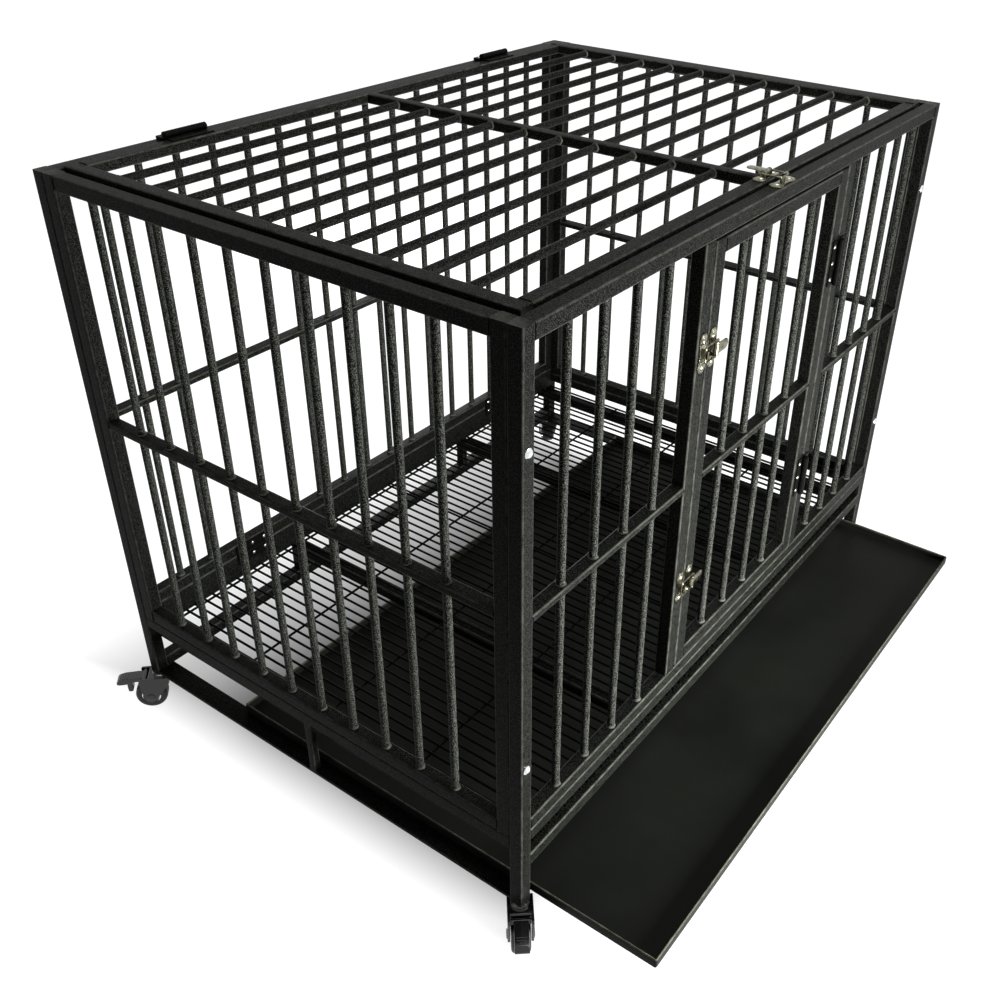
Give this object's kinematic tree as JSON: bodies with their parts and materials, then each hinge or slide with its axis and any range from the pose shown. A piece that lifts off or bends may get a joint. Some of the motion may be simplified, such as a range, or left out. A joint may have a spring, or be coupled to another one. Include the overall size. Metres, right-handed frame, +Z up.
{
  "type": "heavy duty dog crate",
  "caption": "Barred steel dog crate on locking castors with a hinged front door, a hinged barred lid, draw latches, a wire floor and a slide-out tray.",
  "frame": {"origin": "on the floor, under the middle of the whole outline with the tray part way out", "axes": "+X along the front towards the door's hinges, +Y from front to back, +Z up"},
  "size_m": [1.1887, 0.9916, 0.898],
  "materials": {
    "frame_paint": "black hammer-finish paint",
    "hinge_black": "satin black paint",
    "latch_nickel": "bright nickel plate",
    "rivet_nickel": "bright nickel plate",
    "bolt_zinc": "zinc plate",
    "screw_steel": "zinc plate",
    "stem_steel": "zinc plate",
    "castor_black": "gloss black",
    "wheel_rubber": "smooth black tread",
    "tray_sheet": "satin black paint",
    "grate_wire": "satin black paint"
  },
  "bodies": {
    "frame": {"left_panel": "frame_paint", "right_panel": "frame_paint", "back_panel": "frame_paint", "front_left_bay": "frame_paint", "front_right_bay": "frame_paint", "front_top_rail": "frame_paint", "front_bottom_rail": "frame_paint", "lid_rests": "frame_paint", "front_left_leg": "frame_paint", "front_right_leg": "frame_paint", "back_left_leg": "frame_paint", "back_right_leg": "frame_paint", "base_front_rail": "frame_paint", "base_tray_rail": "frame_paint", "base_back_frame": "frame_paint", "base_left_rail": "frame_paint", "base_right_rail": "frame_paint", "left_runner": "frame_paint", "right_runner": "frame_paint", "left_support": "frame_paint", "right_support": "frame_paint", "panel_bolts": "bolt_zinc", "latch_strikes": "latch_nickel", "strike_rivets": "rivet_nickel", "door_hinge_posts": "hinge_black", "lid_hinge_posts": "hinge_black", "fold_hinges": "hinge_black", "frame_hinge_screws": "screw_steel", "castor_stems": "stem_steel"},
    "door": {"door_panel": "frame_paint", "door_hinge_leaves": "hinge_black", "door_hinge_screws": "screw_steel", "door_latch_bases": "latch_nickel", "door_latch_rivets": "rivet_nickel"},
    "lid": {"lid_panel": "frame_paint", "lid_hinge_leaves": "hinge_black", "lid_hinge_screws": "screw_steel", "lid_latch_base": "latch_nickel", "lid_latch_rivets": "rivet_nickel"},
    "tray": {"floor_tray": "tray_sheet"},
    "left_floor": {"left_grate": "grate_wire"},
    "right_floor": {"right_grate": "grate_wire"},
    "upper_latch_lever": {"upper_lever": "latch_nickel"},
    "upper_latch_loop": {"upper_loop": "latch_nickel"},
    "lower_latch_lever": {"lower_lever": "latch_nickel"},
    "lower_latch_loop": {"lower_loop": "latch_nickel"},
    "lid_latch_lever": {"lid_lever": "latch_nickel"},
    "lid_latch_loop": {"lid_loop": "latch_nickel"},
    "front_left_castor": {"front_left_fork": "castor_black"},
    "front_left_roller": {"front_left_wheel": "wheel_rubber"},
    "front_left_brake": {"front_left_pedal": "castor_black"},
    "front_right_castor": {"front_right_fork": "castor_black"},
    "front_right_roller": {"front_right_wheel": "wheel_rubber"},
    "front_right_brake": {"front_right_pedal": "castor_black"},
    "back_left_castor": {"back_left_fork": "castor_black"},
    "back_left_roller": {"back_left_wheel": "wheel_rubber"},
    "back_left_brake": {"back_left_pedal": "castor_black"},
    "back_right_castor": {"back_right_fork": "castor_black"},
    "back_right_roller": {"back_right_wheel": "wheel_rubber"},
    "back_right_brake": {"back_right_pedal": "castor_black"}
  },
  "joints": [
    {"name": "door_swing", "type": "hinge", "parent": "frame", "child": "door", "pos_m": [0.196, -0.31218, 0.536], "axis": [0, 0, 1], "range_deg": [0, 165]},
    {"name": "lid_swing", "type": "hinge", "parent": "frame", "child": "lid", "pos_m": [0, 0.42672, 0.8924], "axis": [-1, 0, 0], "range_deg": [0, 170]},
    {"name": "tray_slide", "type": "slide", "parent": "frame", "child": "tray", "axis": [0, -1, 0], "range_m": [-0.1825, 0.56]},
    {"name": "left_grate_slide", "type": "slide", "parent": "frame", "child": "left_floor", "axis": [0, -1, 0], "range_m": [0, 0.745]},
    {"name": "right_grate_slide", "type": "slide", "parent": "frame", "child": "right_floor", "axis": [0, -1, 0], "range_m": [0, 0.745]},
    {"name": "upper_lever_turn", "type": "hinge", "parent": "door", "child": "upper_latch_lever", "pos_m": [-0.1695, -0.31328, 0.726], "axis": [0, 0, -1], "range_deg": [0, 130]},
    {"name": "upper_loop_turn", "type": "hinge", "parent": "upper_latch_lever", "child": "upper_latch_loop", "pos_m": [-0.1635, -0.31328, 0.726], "axis": [0, 0, -1], "range_deg": [-130, 0]},
    {"name": "lower_lever_turn", "type": "hinge", "parent": "door", "child": "lower_latch_lever", "pos_m": [-0.1695, -0.31328, 0.374], "axis": [0, 0, -1], "range_deg": [0, 130]},
    {"name": "lower_loop_turn", "type": "hinge", "parent": "lower_latch_lever", "child": "lower_latch_loop", "pos_m": [-0.1635, -0.31328, 0.374], "axis": [0, 0, -1], "range_deg": [-130, 0]},
    {"name": "lid_lever_turn", "type": "hinge", "parent": "lid", "child": "lid_latch_lever", "pos_m": [0, -0.27328, 0.8935], "axis": [1, 0, 0], "range_deg": [0, 130]},
    {"name": "lid_loop_turn", "type": "hinge", "parent": "lid_latch_lever", "child": "lid_latch_loop", "pos_m": [0, -0.26728, 0.8935], "axis": [1, 0, 0], "range_deg": [-130, 0]},
    {"name": "front_left_swivel", "type": "hinge", "parent": "frame", "child": "front_left_castor", "pos_m": [-0.536, -0.29678, 0.0636], "axis": [0, 0, 1], "continuous": true},
    {"name": "front_left_roll", "type": "hinge", "parent": "front_left_castor", "child": "front_left_roller", "pos_m": [-0.55132, -0.30964, 0.025], "axis": [0.6428, -0.766, 0], "continuous": true},
    {"name": "front_left_brake_tip", "type": "hinge", "parent": "front_left_castor", "child": "front_left_brake", "pos_m": [-0.5563, -0.31382, 0.0581], "axis": [0.6428, -0.766, 0], "range_deg": [-15, 0]},
    {"name": "front_right_swivel", "type": "hinge", "parent": "frame", "child": "front_right_castor", "pos_m": [0.536, -0.29678, 0.0636], "axis": [0, 0, 1], "continuous": true},
    {"name": "front_right_roll", "type": "hinge", "parent": "front_right_castor", "child": "front_right_roller", "pos_m": [0.51721, -0.30362, 0.025], "axis": [0.342, -0.9397, 0], "continuous": true},
    {"name": "front_right_brake_tip", "type": "hinge", "parent": "front_right_castor", "child": "front_right_brake", "pos_m": [0.5111, -0.30585, 0.0581], "axis": [0.342, -0.9397, 0], "range_deg": [-15, 0]},
    {"name": "back_left_swivel", "type": "hinge", "parent": "frame", "child": "back_left_castor", "pos_m": [-0.536, 0.43922, 0.0636], "axis": [0, 0, 1], "continuous": true},
    {"name": "back_left_roll", "type": "hinge", "parent": "back_left_castor", "child": "back_left_roller", "pos_m": [-0.55014, 0.45336, 0.025], "axis": [-0.7071, -0.7071, 0], "continuous": true},
    {"name": "back_left_brake_tip", "type": "hinge", "parent": "back_left_castor", "child": "back_left_brake", "pos_m": [-0.55474, 0.45795, 0.0581], "axis": [-0.7071, -0.7071, 0], "range_deg": [-15, 0]},
    {"name": "back_right_swivel", "type": "hinge", "parent": "frame", "child": "back_right_castor", "pos_m": [0.536, 0.43922, 0.0636], "axis": [0, 0, 1], "continuous": true},
    {"name": "back_right_roll", "type": "hinge", "parent": "back_right_castor", "child": "back_right_roller", "pos_m": [0.55014, 0.45336, 0.025], "axis": [-0.7071, 0.7071, 0], "continuous": true},
    {"name": "back_right_brake_tip", "type": "hinge", "parent": "back_right_castor", "child": "back_right_brake", "pos_m": [0.55474, 0.45795, 0.0581], "axis": [-0.7071, 0.7071, 0], "range_deg": [-15, 0]}
  ],
  "couplings": [
    {"joint": "upper_loop_turn", "follows": "upper_lever_turn", "ratio": -1},
    {"joint": "lower_loop_turn", "follows": "lower_lever_turn", "ratio": -1},
    {"joint": "lid_loop_turn", "follows": "lid_lever_turn", "ratio": -1}
  ]
}
